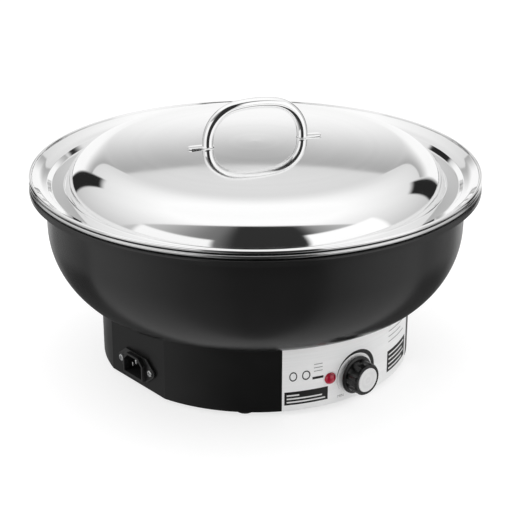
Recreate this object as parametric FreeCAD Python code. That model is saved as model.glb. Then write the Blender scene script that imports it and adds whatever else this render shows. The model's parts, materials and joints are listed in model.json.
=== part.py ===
import FreeCAD, Part
import math
import os

# Electric buffet server: a round chafing dish with a domed lid, a lift-out food pan and a heated
# water pan in a black bowl, on a round base with a thermostat knob, a pilot lamp and a mains inlet.
# Millimetres, +Z up. The origin is on the vertical axis, level with the underside of the feet.
# The front, with the knob, faces -Y. The mains inlet faces -X.

os.makedirs("parts", exist_ok=True)
V = FreeCAD.Vector
UP = V(0, 0, 1)
FRONT = V(0, -1, 0)

# ---------------------------------------------------------------- driving dimensions
RIM_R = 195.0          # outer radius of the lid, the food pan and the bowl's flange
RIM_TOP = 172.25       # top of the lid's rolled edge
DOME_TOP = 193.05      # top of the lid, under the handle
FOOT_H = 4.0           # height of the rubber feet
BASE_TOP = 63.5        # top of the base, where the bowl sits on it
BASE_R = 137.6         # outer radius of the base
PLATE_R = 138.2        # outer radius of the control plate wrapped on the base
FLAT_X = -132.6        # flat on the base for the mains inlet
SHEET = 0.8            # stainless sheet of the lid and both pans
BOWL_SHEET = 1.0       # steel sheet of the outer bowl
BASE_WALL = 2.4        # moulded wall of the base
PAN_FLOOR = 100.8      # inside floor of the food pan
WATER_FLOOR = 78.0     # inside floor of the water pan
KNOB_X = -9.8          # thermostat axis
KNOB_Z = 25.5
LAMP_AZ = -14.6        # pilot lamp, degrees from the front towards +X
LAMP_Z = 28.5
PLATE_HALF_AZ = 32.0   # the control plate's half angle
INLET_Y = 0.0          # centre of the mains inlet
INLET_Z = 22.3
INLET_PITCH = 40.0     # between the inlet's two screws
INLET_FLANGE = 2.2     # thickness of the inlet's flange
INLET_COLLAR = 6.0     # from the flat to the face of the inlet's collar
HANDLE_HALF = 43.0     # from the handle's middle to the centre of each leg
HANDLE_BAR = 9.6       # diameter of the handle's bar
HANDLE_TOP = 232.0     # top of the handle
HANDLE_AZ = -22.0      # direction of the handle's span, degrees from +X
FOOT_AZ = (45, 135, 225, 315)
FOOT_RING = 126.0      # radius of the circle of feet
ELEMENT_R = 84.0       # mean radius of the heating ring
ELEMENT_D = 7.0        # diameter of its sheath
STUD_AZ = (60, 180, 300)
STUD_OFFSET = 12.0     # from the heating ring to the studs inside and outside it
BOWL_SCREW_AZ = (22, 112, 202, 292)
BOWL_SCREW_R = 124.0
KNOB_POINTER = 12.0    # pointer's angle above +X, seen from the front

# ---------------------------------------------------------------- levels and places that follow
BOWL_FLOOR = BASE_TOP + 0.35 + BOWL_SHEET
HEAT_TOP = WATER_FLOOR - SHEET
DIFFUSER = 3.0
ELEMENT_Z = HEAT_TOP - DIFFUSER - ELEMENT_D / 2
CLAMP_BAR = 1.6
CLAMP_Z = HEAT_TOP - DIFFUSER - ELEMENT_D - CLAMP_BAR
SHIELD_Z = 56.0
COLD_END = 22.0        # length of the heater's turned-down ends
COLD_END_X = 16.0
COLD_END_Y = math.sqrt(ELEMENT_R ** 2 - COLD_END_X ** 2)
TERMINAL = 9.0
WIRE_UP_Z = ELEMENT_Z - COLD_END - TERMINAL - 0.2
COVER_Z = FOOT_H + 1.0
COVER_TOP = COVER_Z + 1.0
KNOB_FACE = V(KNOB_X, -PLATE_R + 0.4, KNOB_Z)
CASE_FRONT = -131.8
CASE_BACK = CASE_FRONT + 26.0
BLADE_ENDS = [V(KNOB_X + x, CASE_BACK + 9.0, KNOB_Z + z) for x in (-3, 13) for z in (-5, 5)]
BULB_START = V(32.0, -17.0, 74.2)
EARTH_AT = V(-92.0, 46.0, 0)
BLOCK_AT = V(-58.0, 50.0, COVER_TOP)
PIN_LENGTH = 27.0      # from the flat back to the end of the inlet's blades
PIN_BACK = FLAT_X + PIN_LENGTH + 0.2


# ---------------------------------------------------------------- helpers
def at(radius, az, z):
    """A point at a radius and height, az degrees from the front towards +X."""
    return V(radius * math.sin(math.radians(az)), -radius * math.cos(math.radians(az)), z)


def outward(az):
    return at(1, az, 0)


def cylinder(radius, start, direction, length):
    return Part.makeCylinder(radius, length, start, direction)


def tube(outer, inner, start, direction, length):
    return cylinder(outer, start, direction, length).cut(cylinder(inner, start, direction, length))


def block(low, high):
    size = V(*high) - V(*low)
    return Part.makeBox(size.x, size.y, size.z, V(*low))


def turned_to(shape, az):
    """A shape made at the front, turned about the vertical axis."""
    shape.rotate(V(0, 0, 0), UP, az)
    return shape


def rounded_path(points, radii):
    """Straight runs through (r, z) points with a tangent arc at each inner corner."""
    corners = [V(r, 0, z) for r, z in points]
    edges = []
    start = corners[0]
    for i in range(1, len(corners) - 1):
        to_start = (corners[i - 1] - corners[i]).normalize()
        to_end = (corners[i + 1] - corners[i]).normalize()
        angle = to_start.getAngle(to_end)
        tangent = radii[i - 1] / math.tan(angle / 2)
        first = corners[i] + to_start * tangent
        last = corners[i] + to_end * tangent
        middle = corners[i] + (to_start + to_end).normalize() * (
            radii[i - 1] / math.sin(angle / 2) - radii[i - 1])
        if (first - start).Length > 1e-4:
            edges.append(Part.LineSegment(start, first).toShape())
        edges.append(Part.Arc(first, middle, last).toShape())
        start = last
    if (corners[-1] - start).Length > 1e-4:
        edges.append(Part.LineSegment(start, corners[-1]).toShape())
    return edges


def offset_corners(points, thickness):
    """The same outline moved to the left of its direction of travel."""
    moved = []
    runs = []
    for (r1, z1), (r2, z2) in zip(points, points[1:]):
        length = math.hypot(r2 - r1, z2 - z1)
        runs.append((-(z2 - z1) / length, (r2 - r1) / length))
    for i, (r, z) in enumerate(points):
        n1 = runs[max(i - 1, 0)]
        n2 = runs[min(i, len(runs) - 1)]
        scale = thickness / (1 + n1[0] * n2[0] + n1[1] * n2[1])
        moved.append((r + (n1[0] + n2[0]) * scale, z + (n1[1] + n2[1]) * scale))
    return moved


def sheet_of_revolution(points, radii, thickness):
    """Pressed sheet: the path is its visible side, the metal lies to the left of the path."""
    other = offset_corners(points, thickness)
    other_radii = []
    for i in range(1, len(points) - 1):
        (r0, z0), (r1, z1), (r2, z2) = points[i - 1:i + 2]
        turn = (r1 - r0) * (z2 - z1) - (z1 - z0) * (r2 - r1)
        other_radii.append(radii[i - 1] + (-thickness if turn > 0 else thickness))
    if points[-1][0] == 0:
        other[-1] = (0, other[-1][1])
    edges = rounded_path(points, radii) + rounded_path(other, other_radii)
    for a, b in ((points[0], other[0]), (points[-1], other[-1])):
        edges.append(Part.LineSegment(V(a[0], 0, a[1]), V(b[0], 0, b[1])).toShape())
    wire = Part.Wire(Part.__sortEdges__(edges))
    return Part.Face(wire).revolve(V(0, 0, 0), UP, 360)


def revolved(points):
    """A solid of revolution about the vertical axis from (r, z) corners."""
    wire = Part.makePolygon([V(r, 0, z) for r, z in points + points[:1]])
    return Part.Face(wire).revolve(V(0, 0, 0), UP, 360)


def turned_part(points, origin, direction):
    """A lathe-turned part: (radius, distance along the direction) points about a line."""
    shape = revolved(points)
    shape.rotate(V(0, 0, 0), UP.cross(direction), 90)
    shape.translate(origin)
    return shape


def rolled_edge(radius, z, bead):
    return Part.makeTorus(radius, bead, V(0, 0, z), UP)


def hexagon(flat, start, direction, height):
    corner = flat / math.sqrt(3)
    points = []
    for i in range(7):
        angle = math.radians(60 * i)
        points.append(V(corner * math.cos(angle), corner * math.sin(angle), 0))
    prism = Part.Face(Part.makePolygon(points)).extrude(UP * height)
    turn = FreeCAD.Rotation(UP, direction)
    prism.Placement = FreeCAD.Placement(start, turn)
    return prism


def nut(flat, bore, start, direction, height):
    return hexagon(flat, start, direction, height).cut(cylinder(bore, start, direction, height))


def screw(shank, shank_length, head, head_height, seat, direction):
    """A pan-head screw: direction points from the head into the hole, seat is under the head."""
    top = seat - direction * head_height
    cap = cylinder(head, top, direction, head_height)
    rim = [edge for edge in cap.Edges if edge.CenterOfMass.sub(top).Length < 1e-6]
    cap = cap.makeFillet(min(head, head_height) * 0.45, rim)
    across = direction.cross(UP)
    if across.Length < 0.5:
        across = V(1, 0, 0)
    half_length = across * (0.6 * head)
    half_width = across.cross(direction) * (0.12 * head)
    for a, b in ((half_length, half_width), (half_length.cross(direction), half_width.cross(direction))):
        corners = [top - a - b, top + a - b, top + a + b, top - a + b, top - a - b]
        cap = cap.cut(Part.Face(Part.makePolygon(corners)).extrude(direction * (head_height * 0.5)))
    return cylinder(shank, seat, direction, shank_length).fuse(cap).removeSplitter()


def wire_run(points, radius):
    """A lead along straight runs, joined by the largest tangent arcs that the runs allow."""
    edges = []
    start = points[0]
    for before, corner, after in zip(points, points[1:], points[2:]):
        to_start = before - corner
        to_end = after - corner
        tangent = 0.45 * min(to_start.Length, to_end.Length)
        to_start.normalize()
        to_end.normalize()
        half = to_start.getAngle(to_end) / 2
        arc_radius = tangent * math.tan(half)
        first = corner + to_start * tangent
        last = corner + to_end * tangent
        middle = corner + (to_start + to_end).normalize() * (arc_radius / math.sin(half) - arc_radius)
        edges.append(Part.LineSegment(start, first).toShape())
        edges.append(Part.Arc(first, middle, last).toShape())
        start = last
    edges.append(Part.LineSegment(start, points[-1]).toShape())
    section = Part.Wire(Part.makeCircle(radius, points[0], points[1] - points[0]))
    return Part.Wire(edges).makePipeShell([section], True, False)


def fuse_all(shapes):
    whole = shapes[0]
    for shape in shapes[1:]:
        whole = whole.fuse(shape)
    return whole.removeSplitter()


def save(name, shape):
    """One STEP per node; several pieces of one kind are separate solids in it."""
    if isinstance(shape, list):
        shape = Part.makeCompound(shape)
    print(name, "solids", len(shape.Solids), "valid", shape.isValid(), "volume", round(shape.Volume))
    shape.exportStep("parts/" + name + ".step")


# ---------------------------------------------------------------- lid
def lid_shell():
    """Domed lid: rolled edge, dished flange, a locating groove, then a wall up to a flat crown."""
    points = [
        (RIM_R - 1.5, RIM_TOP - 1.05),
        (RIM_R - 15.5, RIM_TOP - 8.0),
        (RIM_R - 19.4, RIM_TOP - 11.95),
        (RIM_R - 30.5, RIM_TOP - 11.95),
        (RIM_R - 35.25, DOME_TOP - 6.15),
        (68.5, DOME_TOP),
        (0, DOME_TOP),
    ]
    crown_radius = 68.5 / math.tan(0.5 * math.atan2(6.15, RIM_R - 35.25 - 68.5)) - 1
    shell = sheet_of_revolution(points, [1.5, 1.5, 3.5, 29.3, crown_radius], SHEET)
    return shell.fuse(rolled_edge(RIM_R - 1.5, RIM_TOP - 1.5, 1.5)).removeSplitter()


def handle_frame(shape):
    shape.rotate(V(0, 0, 0), UP, HANDLE_AZ)
    return shape


def lid_handle():
    """Bowed round bar: two short legs, two wide bends and a slightly arched top."""
    corner = 30.0
    lean = math.radians(10)
    centre_top = HANDLE_TOP - HANDLE_BAR / 2
    inner_x = HANDLE_HALF - corner + corner * math.sin(lean)
    arch = inner_x / math.sin(lean)
    corner_z = centre_top - arch * (1 - math.cos(lean)) - corner * math.cos(lean)
    foot_z = DOME_TOP + 0.6

    def bend(side, angle):
        x = HANDLE_HALF - corner + corner * math.cos(angle)
        return V(side * x, 0, corner_z + corner * math.sin(angle))

    upper = math.radians(80)
    edges = [
        Part.LineSegment(V(-HANDLE_HALF, 0, foot_z), V(-HANDLE_HALF, 0, corner_z)).toShape(),
        Part.Arc(V(-HANDLE_HALF, 0, corner_z), bend(-1, upper / 2), bend(-1, upper)).toShape(),
        Part.Arc(bend(-1, upper), V(0, 0, centre_top), bend(1, upper)).toShape(),
        Part.Arc(bend(1, upper), bend(1, upper / 2), V(HANDLE_HALF, 0, corner_z)).toShape(),
        Part.LineSegment(V(HANDLE_HALF, 0, corner_z), V(HANDLE_HALF, 0, foot_z)).toShape(),
    ]
    section = Part.Wire(Part.makeCircle(HANDLE_BAR / 2, V(-HANDLE_HALF, 0, foot_z), UP))
    return handle_frame(Part.Wire(edges).makePipeShell([section], True, False))


def handle_tabs():
    """Half-round steel tabs, welded to the crown and to the feet of the handle."""
    tabs = []
    for side in (-1, 1):
        plate = block((0, -4.6, DOME_TOP - 1.0), (13.0, 4.6, DOME_TOP + 0.6))
        plate = plate.fuse(cylinder(4.6, V(13.0, 0, DOME_TOP - 1.0), UP, 1.6))
        plate = plate.fuse(cylinder(6.0, V(0, 0, DOME_TOP - 1.0), UP, 1.6)).removeSplitter()
        plate.translate(V(HANDLE_HALF, 0, 0))
        if side < 0:
            plate.rotate(V(0, 0, 0), UP, 180)
        tabs.append(handle_frame(plate))
    crown = lid_shell()
    return [tab.cut(crown) for tab in tabs]


# ---------------------------------------------------------------- pans and bowl
def food_pan():
    """Lift-out stainless pan: rolled edge, flat flange, a sloped mouth that takes the lid's groove."""
    flange = RIM_TOP - 7.15
    points = [
        (RIM_R - 1.6, flange + 1.3),
        (RIM_R - 4.0, flange),
        (RIM_R - 9.0, flange),
        (RIM_R - 14.67, flange - 1.65),
        (RIM_R - 19.1, flange - 6.15),
        (171.5, PAN_FLOOR),
        (0, PAN_FLOOR),
    ]
    pan = sheet_of_revolution(points, [1.5, 2.0, 1.5, 2.0, 26.0], SHEET)
    return pan.fuse(rolled_edge(RIM_R - 1.6, RIM_TOP - 5.6, 1.6)).removeSplitter()


def water_pan():
    """Fixed inner well for the water, its flange on the ledge inside the bowl's rim."""
    points = [(187.8, 161.9), (178.8, 161.9), (177.0, WATER_FLOOR), (0, WATER_FLOOR)]
    return sheet_of_revolution(points, [3.0, 50.0], SHEET)


def bowl_outline():
    """Inner side of the bowl, from the lower edge of its skirt to the opening in its floor."""
    slope = math.radians(43.4)
    wall_end = (180.1, 96.1)
    floor_start = wall_end[0] - (wall_end[1] - BOWL_FLOOR) * math.tan(slope)
    return [
        (RIM_R, RIM_TOP - 13.4),
        (RIM_R, RIM_TOP - 8.25),
        (188.5, RIM_TOP - 8.25),
        (188.5, 160.5),
        (180.9, 160.5),
        wall_end,
        (floor_start, BOWL_FLOOR),
        (118.0, BOWL_FLOOR),
    ]


def outer_bowl():
    """Black painted bowl: skirted flange, inner ledge, straight wall and a full round turn."""
    bowl = sheet_of_revolution(bowl_outline(), [1.9, 1.6, 1.0, 2.2, 74.0, 31.0], BOWL_SHEET)
    for az in BOWL_SCREW_AZ:
        bowl = bowl.cut(cylinder(2.1, at(BOWL_SCREW_R, az, BASE_TOP - 2), UP, 8))
    return bowl


def rim_seal():
    """Flat silicone ring between the bowl's ledge and the water pan's flange."""
    return tube(187.2, 182.0, V(0, 0, 160.5), UP, 0.6)


# ---------------------------------------------------------------- base
def base_profile(radius, low, high, flat):
    """A round slab cut off straight at the mains inlet."""
    body = cylinder(radius, V(0, 0, low), UP, high - low)
    return body.cut(block((-radius - 5, -radius, low - 1), (flat, radius, high + 1)))


def base_shell():
    """Moulded base: round wall with a flat for the inlet, a top flange and four foot bosses."""
    outer = base_profile(BASE_R, FOOT_H, BASE_TOP, FLAT_X)
    upright = BASE_TOP - FOOT_H
    corners = [edge for edge in outer.Edges
               if abs(edge.Length - upright) < 0.01 and edge.CenterOfMass.x < FLAT_X + 1]
    outer = outer.makeFillet(4.0, corners)
    inner = base_profile(BASE_R - BASE_WALL, FOOT_H - 1, BASE_TOP - BASE_WALL, FLAT_X + BASE_WALL)
    shell = outer.cut(inner).cut(cylinder(112.0, V(0, 0, BASE_TOP - 10), UP, 20))
    for az in FOOT_AZ:
        boss = cylinder(5.0, at(FOOT_RING, az, FOOT_H + 2.2), UP, upright - 3)
        web = block((-1.2, -BASE_R + 1, FOOT_H + 2.2), (1.2, -FOOT_RING, BASE_TOP - 1))
        shell = shell.fuse(boss).fuse(turned_to(web, az))
        shell = shell.cut(cylinder(1.6, at(FOOT_RING, az, FOOT_H), UP, 14))
    shell = shell.removeSplitter()
    for az in BOWL_SCREW_AZ:
        shell = shell.cut(cylinder(2.1, at(BOWL_SCREW_R, az, BASE_TOP - 6), UP, 10))
    shell = shell.cut(cylinder(5.1, V(KNOB_X, -BASE_R - 3, KNOB_Z), V(0, 1, 0), 10))
    shell = shell.cut(cylinder(4.6, at(BASE_R + 3, LAMP_AZ, LAMP_Z), outward(LAMP_AZ) * -1, 10))
    shell = shell.cut(block((FLAT_X - 4, INLET_Y - 14.2, INLET_Z - 10.7),
                            (FLAT_X + 6, INLET_Y + 14.2, INLET_Z + 10.7)))
    for side in (-1, 1):
        hole = V(FLAT_X - 4, INLET_Y + side * INLET_PITCH / 2, INLET_Z)
        shell = shell.cut(cylinder(1.7, hole, V(1, 0, 0), 12))
    return shell


def base_cover():
    """Flat steel bottom plate with vent slots and holes for its screws."""
    below = COVER_Z - 1
    plate = base_profile(BASE_R - BASE_WALL - 0.4, COVER_Z, COVER_TOP, FLAT_X + BASE_WALL + 0.4)
    for az in FOOT_AZ:
        plate = plate.cut(cylinder(1.8, at(FOOT_RING, az, below), UP, 4))
    for ring in (40, 56, 72):
        for i in range(12):
            slot = block((-1.6, -ring - 6, below), (1.6, -ring + 6, below + 4))
            plate = plate.cut(turned_to(slot, 30 * i + 15))
    plate = plate.cut(cylinder(2.1, EARTH_AT + V(0, 0, below), UP, 4))
    return plate.cut(cylinder(1.6, BLOCK_AT + V(-5, 0, -2), UP, 4))


def rubber_feet():
    """Tapered feet with a recess for the screw's head."""
    points = [(2.0, 0.9), (4.2, 0.9), (4.2, 0), (7.2, 0), (8.0, 0.8), (8.4, COVER_Z), (2.0, COVER_Z)]
    feet = []
    for az in FOOT_AZ:
        foot = revolved(points)
        foot.translate(at(FOOT_RING, az, 0))
        feet.append(foot)
    return feet


def foot_screws():
    return [screw(1.6, 15.0, 3.4, 0.7, at(FOOT_RING, az, 0.9), UP) for az in FOOT_AZ]


def bowl_screws():
    """M4 screws up through the base's top flange and the floor of the bowl."""
    seat = BASE_TOP - BASE_WALL
    return [screw(2.0, 8.0, 3.6, 2.2, at(BOWL_SCREW_R, az, seat), UP) for az in BOWL_SCREW_AZ]


def bowl_nuts():
    return [nut(7.0, 2.0, at(BOWL_SCREW_R, az, BOWL_FLOOR), UP, 3.0) for az in BOWL_SCREW_AZ]


def control_plate():
    """Brushed metal plate rolled round the front of the base, full height."""
    ring = tube(PLATE_R, BASE_R, V(0, 0, FOOT_H), UP, BASE_TOP - FOOT_H - 0.2)
    reach = PLATE_R * 1.2
    corners = [V(0, 0, 0), at(reach, -PLATE_HALF_AZ, 0), at(reach * 1.2, 0, 0), at(reach, PLATE_HALF_AZ, 0)]
    wedge = Part.makePolygon(corners + corners[:1])
    plate = ring.common(Part.Face(wedge).extrude(V(0, 0, BASE_TOP)))
    plate = plate.cut(cylinder(5.1, V(KNOB_X, -PLATE_R - 3, KNOB_Z), V(0, 1, 0), 10))
    return plate.cut(cylinder(4.6, at(PLATE_R + 3, LAMP_AZ, LAMP_Z), outward(LAMP_AZ) * -1, 10))


# ---------------------------------------------------------------- thermostat and knob
def thermostat_body():
    """Capillary thermostat: case, threaded bush through the wall, and four blade terminals."""
    case = block((KNOB_X - 12, CASE_FRONT, KNOB_Z - 14), (KNOB_X + 22, CASE_BACK, KNOB_Z + 14))
    depth = CASE_BACK - CASE_FRONT
    case = case.makeFillet(2.0, [edge for edge in case.Edges if abs(edge.Length - depth) < 0.01])
    bush_front = -PLATE_R - 3.6
    bush = cylinder(4.9, V(KNOB_X, bush_front, KNOB_Z), V(0, 1, 0), CASE_FRONT - bush_front + 1)
    body = case.fuse(bush).removeSplitter()
    for end in BLADE_ENDS:
        blade = block((end.x - 3.1, CASE_BACK - 1, end.z - 0.4), (end.x + 3.1, end.y, end.z + 0.4))
        body = body.fuse(blade)
    return body.cut(cylinder(3.05, V(KNOB_X, bush_front - 1, KNOB_Z), V(0, 1, 0), 21))


def thermostat_nut():
    return nut(14.0, 4.9, V(KNOB_X, -PLATE_R - 0.05, KNOB_Z), FRONT, 2.6)


def thermostat_shaft():
    """Steel spindle with a flat for the knob, turning in the bush."""
    shaft = cylinder(3.0, KNOB_FACE + FRONT * 12.4, V(0, 1, 0), 26.8)
    flat = block((KNOB_X - 4, KNOB_FACE.y - 13, KNOB_Z + 1.8), (KNOB_X + 4, KNOB_FACE.y - 5.0, KNOB_Z + 4))
    return shaft.cut(flat)


def knob():
    """Black moulded knob: thin skirt with a pointer, a scalloped grip and a seat for the end cap."""
    outline = [(0, 1.6), (16.5, 1.6), (16.5, 2.6), (15.9, 3.2), (14.3, 3.6), (13.9, 13.4), (12.9, 14.8),
               (10.6, 14.8), (10.6, 13.8), (0, 13.8)]
    grip = turned_part(outline, KNOB_FACE, FRONT)
    for i in range(10):
        angle = math.radians(36 * i + 18)
        start = KNOB_FACE + FRONT * 3.6 + V(16.6 * math.cos(angle), 0, 16.6 * math.sin(angle))
        grip = grip.cut(cylinder(3.6, start, FRONT, 9.8))
    nub = block((15.4, -2.6, -1.1), (17.8, -0.4, 1.1))
    nub.rotate(V(0, 0, 0), V(0, 1, 0), -KNOB_POINTER)
    nub.translate(KNOB_FACE + FRONT * 0.9)
    grip = grip.fuse(nub).removeSplitter()
    hollow = cylinder(9.2, KNOB_FACE + FRONT * 0.5, FRONT, 4.1)
    shaft_hole = cylinder(3.0, KNOB_FACE + FRONT * 4.0, FRONT, 8.4)
    return grip.cut(hollow).cut(shaft_hole)


def knob_cap():
    """Turned aluminium disc let into the end of the knob."""
    return turned_part([(0, 13.8), (10.5, 13.8), (10.5, 15.0), (10.1, 15.3), (0, 15.3)], KNOB_FACE, FRONT)


def capillary_tube():
    """Copper capillary from the thermostat up through the heat shield to the sensing bulb."""
    start = V(KNOB_X + 16, CASE_BACK, KNOB_Z + 10)
    points = [start, start + V(0, 14, 0), V(24, -74, 42), V(BULB_START.x, -52, 54),
              V(BULB_START.x, -40, 70), BULB_START + V(0, -12, 0), BULB_START]
    return wire_run(points, 1.0)


def sensing_bulb():
    return cylinder(2.6, BULB_START, V(0, 1, 0), 34.0)


def bulb_clip():
    """Spring-steel bridge that holds the bulb up against the water pan."""
    x = BULB_START.x
    y = BULB_START.y + 17
    strap = block((x - 9, y - 5, HEAT_TOP - 0.8), (x + 9, y + 5, HEAT_TOP))
    saddle = tube(3.5, 2.65, V(x, y - 5, BULB_START.z), V(0, 1, 0), 10)
    strap = strap.fuse(saddle).cut(cylinder(2.65, V(x, y - 6, BULB_START.z), V(0, 1, 0), 12))
    return strap.common(block((x - 9, y - 5, 60), (x + 9, y + 5, HEAT_TOP)))


# ---------------------------------------------------------------- pilot lamp
def lamp_frame(points):
    shape = turned_part(points, V(0, 0, 0), FRONT)
    shape.translate(V(0, -PLATE_R, LAMP_Z))
    return turned_to(shape, LAMP_AZ)


def lamp_lens():
    """Red domed lens with a collar, standing proud of the plate."""
    dome = 4.6
    points = [(0, -7.0), (3.6, -7.0), (3.6, 0.15), (5.2, 0.15), (5.2, 0.7), (dome, 1.1)]
    for i in range(1, 7):
        angle = math.radians(15 * i)
        points.append((dome * math.cos(angle), 1.1 + 2.2 * math.sin(angle)))
    return lamp_frame(points)


def lamp_housing():
    """Black tube that holds the lens and the lamp."""
    return lamp_frame([(3.65, -6.8), (4.4, -6.8), (4.4, -28.0), (0, -28.0), (0, -7.3), (3.65, -7.3)])


def lamp_clip():
    """Push-on spring washer behind the wall."""
    return lamp_frame([(4.45, -4.2), (7.5, -4.2), (7.5, -4.8), (4.45, -4.8)])


# ---------------------------------------------------------------- mains inlet
def inlet_blank(low_x, high_x, half_y, half_z, chamfer):
    """Socket outline in Y and Z, with its two upper corners cut off."""
    outline = [
        (-half_y, -half_z), (half_y, -half_z), (half_y, half_z - chamfer), (half_y - chamfer, half_z),
        (chamfer - half_y, half_z), (-half_y, half_z - chamfer), (-half_y, -half_z)]
    points = [V(low_x, INLET_Y + y, INLET_Z + z) for y, z in outline]
    return Part.Face(Part.makePolygon(points)).extrude(V(high_x - low_x, 0, 0))


def inlet_housing():
    """Appliance inlet: flange with two rounded ears, raised collar, and the socket behind it."""
    face = FLAT_X - INLET_FLANGE
    corners = [(-22, -4.6), (-14.5, -11), (14.5, -11), (22, -4.6), (22, 4.6), (14.5, 11), (-14.5, 11),
               (-22, 4.6), (-22, -4.6)]
    plan = [V(face, INLET_Y + y, INLET_Z + z) for y, z in corners]
    flange = Part.Face(Part.makePolygon(plan)).extrude(V(INLET_FLANGE, 0, 0))
    ear_centres = [V(face, INLET_Y + side * INLET_PITCH / 2, INLET_Z) for side in (-1, 1)]
    for centre in ear_centres:
        flange = flange.fuse(cylinder(5.0, centre, V(1, 0, 0), INLET_FLANGE))
    body = flange.fuse(inlet_blank(FLAT_X - INLET_COLLAR, FLAT_X + 18.0, 13.6, 10.2, 5.6)).removeSplitter()
    body = body.cut(inlet_blank(FLAT_X - INLET_COLLAR - 1, FLAT_X + 15.0, 12.0, 8.2, 5.0))
    for centre in ear_centres:
        body = body.cut(cylinder(1.7, centre - V(1, 0, 0), V(1, 0, 0), 6))
    for pin in inlet_pins():
        body = body.cut(pin)
    return body


def inlet_pins():
    """Live and neutral below, the longer earth pin above, with blades behind for the leads."""
    pins = []
    for y, z, tip in ((-7, -2.2, 0), (7, -2.2, 0), (0, 3.0, -1.5)):
        pin = block((FLAT_X - 1.0 + tip, INLET_Y + y - 1.0, INLET_Z + z - 2.0),
                    (FLAT_X + PIN_LENGTH, INLET_Y + y + 1.0, INLET_Z + z + 2.0))
        pins.append(pin)
    return pins


def inlet_screws():
    screws = []
    for side in (-1, 1):
        seat = V(FLAT_X - INLET_FLANGE, INLET_Y + side * INLET_PITCH / 2, INLET_Z)
        screws.append(screw(1.5, 9.2, 2.9, 1.5, seat, V(1, 0, 0)))
    return screws


def inlet_nuts():
    nuts = []
    for side in (-1, 1):
        start = V(FLAT_X + BASE_WALL, INLET_Y + side * INLET_PITCH / 2, INLET_Z)
        nuts.append(nut(5.5, 1.5, start, V(1, 0, 0), 2.4))
    return nuts


# ---------------------------------------------------------------- heating
INNER_STUD_R = ELEMENT_R - STUD_OFFSET
OUTER_STUD_R = ELEMENT_R + STUD_OFFSET
COLD_ENDS = (-COLD_END_X, COLD_END_X)


def diffuser_plate():
    """Aluminium plate that spreads the heat over the floor of the water pan."""
    plate = tube(108.0, 56.0, V(0, 0, HEAT_TOP - DIFFUSER), UP, DIFFUSER)
    for az in STUD_AZ:
        for r in (INNER_STUD_R, OUTER_STUD_R):
            plate = plate.cut(cylinder(2.8, at(r, az, HEAT_TOP - 5), UP, 8))
    return plate


def heating_element():
    """Tubular heater bent to an open ring, its two cold ends turned down through the shield."""
    sheath = ELEMENT_D / 2
    ring = Part.makeTorus(ELEMENT_R, sheath, V(0, 0, ELEMENT_Z), UP)
    ring = ring.cut(block((-COLD_END_X, 0, ELEMENT_Z - 10), (COLD_END_X, ELEMENT_R + 20, ELEMENT_Z + 10)))
    ends = []
    for x in COLD_ENDS:
        ends.append(cylinder(sheath, V(x, COLD_END_Y, ELEMENT_Z - COLD_END), UP, COLD_END))
        ends.append(Part.makeSphere(sheath, V(x, COLD_END_Y, ELEMENT_Z)))
    return fuse_all([ring] + ends)


def element_terminals():
    """Pins in the heater's cold ends."""
    z = ELEMENT_Z - COLD_END - TERMINAL
    return [cylinder(1.6, V(x, COLD_END_Y, z), UP, TERMINAL) for x in COLD_ENDS]


def clamp_bars():
    """Steel straps across the heating ring, one over each pair of studs."""
    bars = []
    for az in STUD_AZ:
        bar = block((-6, -ELEMENT_R - 18, CLAMP_Z), (6, -ELEMENT_R + 18, CLAMP_Z + CLAMP_BAR))
        for r in (INNER_STUD_R, OUTER_STUD_R):
            bar = bar.cut(cylinder(2.15, V(0, -r, CLAMP_Z - 2), UP, 8))
        bars.append(turned_to(bar, az))
    return bars


def clamp_studs():
    """Studs welded under the water pan; the longer ones also carry the heat shield."""
    studs = []
    for az in STUD_AZ:
        studs.append(cylinder(2.0, at(OUTER_STUD_R, az, HEAT_TOP - 18), UP, 18.0))
        studs.append(cylinder(2.0, at(INNER_STUD_R, az, SHIELD_Z - 5), UP, HEAT_TOP - SHIELD_Z + 5))
    return studs


def clamp_nuts():
    nuts = []
    for az in STUD_AZ:
        for r in (INNER_STUD_R, OUTER_STUD_R):
            nuts.append(nut(7.0, 2.0, at(r, az, CLAMP_Z - 3.2), UP, 3.2))
    return nuts


def heat_shield():
    """Bright steel dish under the heater that keeps its heat out of the base."""
    below = SHIELD_Z - 4
    points = [(108.0, SHIELD_Z + 4.0), (104.0, SHIELD_Z + SHEET), (0, SHIELD_Z + SHEET)]
    shield = sheet_of_revolution(points, [4.0], SHEET)
    for az in STUD_AZ:
        shield = shield.cut(cylinder(2.15, at(INNER_STUD_R, az, below), UP, 10))
    for x in COLD_ENDS:
        shield = shield.cut(cylinder(5.0, V(x, COLD_END_Y, below), UP, 10))
    return shield.cut(cylinder(5.0, V(BULB_START.x, -50, below), UP, 12))


def shield_nuts():
    return [nut(7.0, 2.0, at(INNER_STUD_R, az, SHIELD_Z - 3.2), UP, 3.2) for az in STUD_AZ]


def thermal_cutout():
    """Disc thermal fuse under the middle of the water pan."""
    parts = [cylinder(8.0, V(0, 0, HEAT_TOP - 9), UP, 9.0)]
    parts.append(block((-12.5, -6, HEAT_TOP - 1.2), (12.5, 6, HEAT_TOP)))
    for x in (-6.5, 5.7):
        parts.append(block((x, -2.5, HEAT_TOP - 14), (x + 0.8, 2.5, HEAT_TOP - 8)))
    return fuse_all(parts)


# ---------------------------------------------------------------- wiring inside the base
BLOCK_POLES = (-10, 0, 10)


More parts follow.
